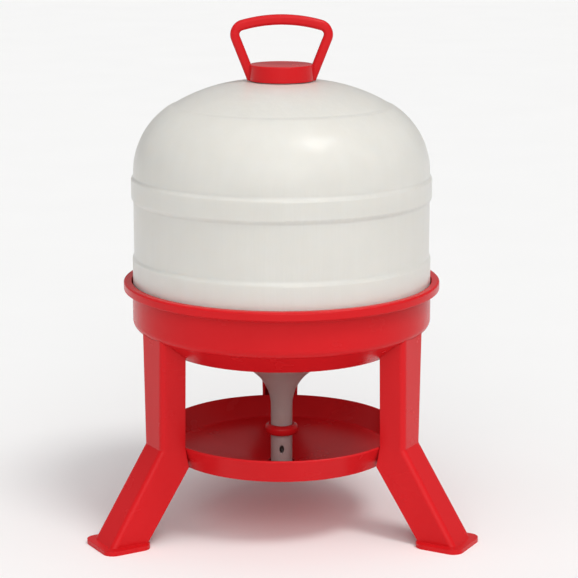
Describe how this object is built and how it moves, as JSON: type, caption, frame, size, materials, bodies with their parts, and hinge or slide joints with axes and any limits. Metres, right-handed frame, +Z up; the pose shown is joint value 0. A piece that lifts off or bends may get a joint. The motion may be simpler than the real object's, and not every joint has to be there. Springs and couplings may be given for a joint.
{
  "type": "poultry waterer fount",
  "caption": "Domed translucent water tank on a red three-legged stand with a round drinking tray, a turn-to-close outlet valve and a screw cap with a carrying loop.",
  "frame": {"origin": "on the tank's axis at floor level, in the plane of the undersides of the feet", "axes": "+Z up along the tank's axis, -Y the front, which the valve's port faces, +Y towards the rear leg"},
  "size_m": [0.5004, 0.479, 0.6629],
  "materials": {
    "red_plastic": "satin gloss moulded polypropylene",
    "tank_hdpe": "milky translucent blow-moulded polyethylene",
    "valve_plastic": "satin grey moulded plastic",
    "seal_rubber": "matt black rubber",
    "screw_steel": "zinc-plated steel"
  },
  "bodies": {
    "stand": {"support_ring": "red_plastic", "leg_left": "red_plastic", "leg_right": "red_plastic", "leg_rear": "red_plastic", "drinking_tray": "red_plastic", "leg_screws": "screw_steel", "tray_screws": "screw_steel"},
    "tank": {"reservoir": "tank_hdpe", "valve_o_ring_upper": "seal_rubber", "valve_o_ring_lower": "seal_rubber"},
    "valve": {"valve_sleeve": "valve_plastic", "valve_collar": "red_plastic"},
    "cap_seal": {"cap_gasket": "seal_rubber"},
    "cap": {"filler_cap": "red_plastic"}
  },
  "joints": [
    {"name": "tank_lift", "type": "slide", "parent": "stand", "child": "tank", "axis": [0, 0, 1], "range_m": [0, 0.26]},
    {"name": "valve_turn", "type": "hinge", "parent": "tank", "child": "valve", "pos_m": [0, 0, 0.0937], "axis": [0, 0, 1], "range_deg": [0, 90]},
    {"name": "cap_rise", "type": "slide", "parent": "tank", "child": "cap_seal", "axis": [0, 0, 1], "range_m": [0, 0.0181]},
    {"name": "cap_turn", "type": "hinge", "parent": "cap_seal", "child": "cap", "pos_m": [0, 0, 0.5969], "axis": [0, 0, 1], "range_deg": [0, 1080]}
  ],
  "couplings": [
    {"joint": "cap_rise", "follows": "cap_turn", "m_per_rad": 0.00095493}
  ]
}
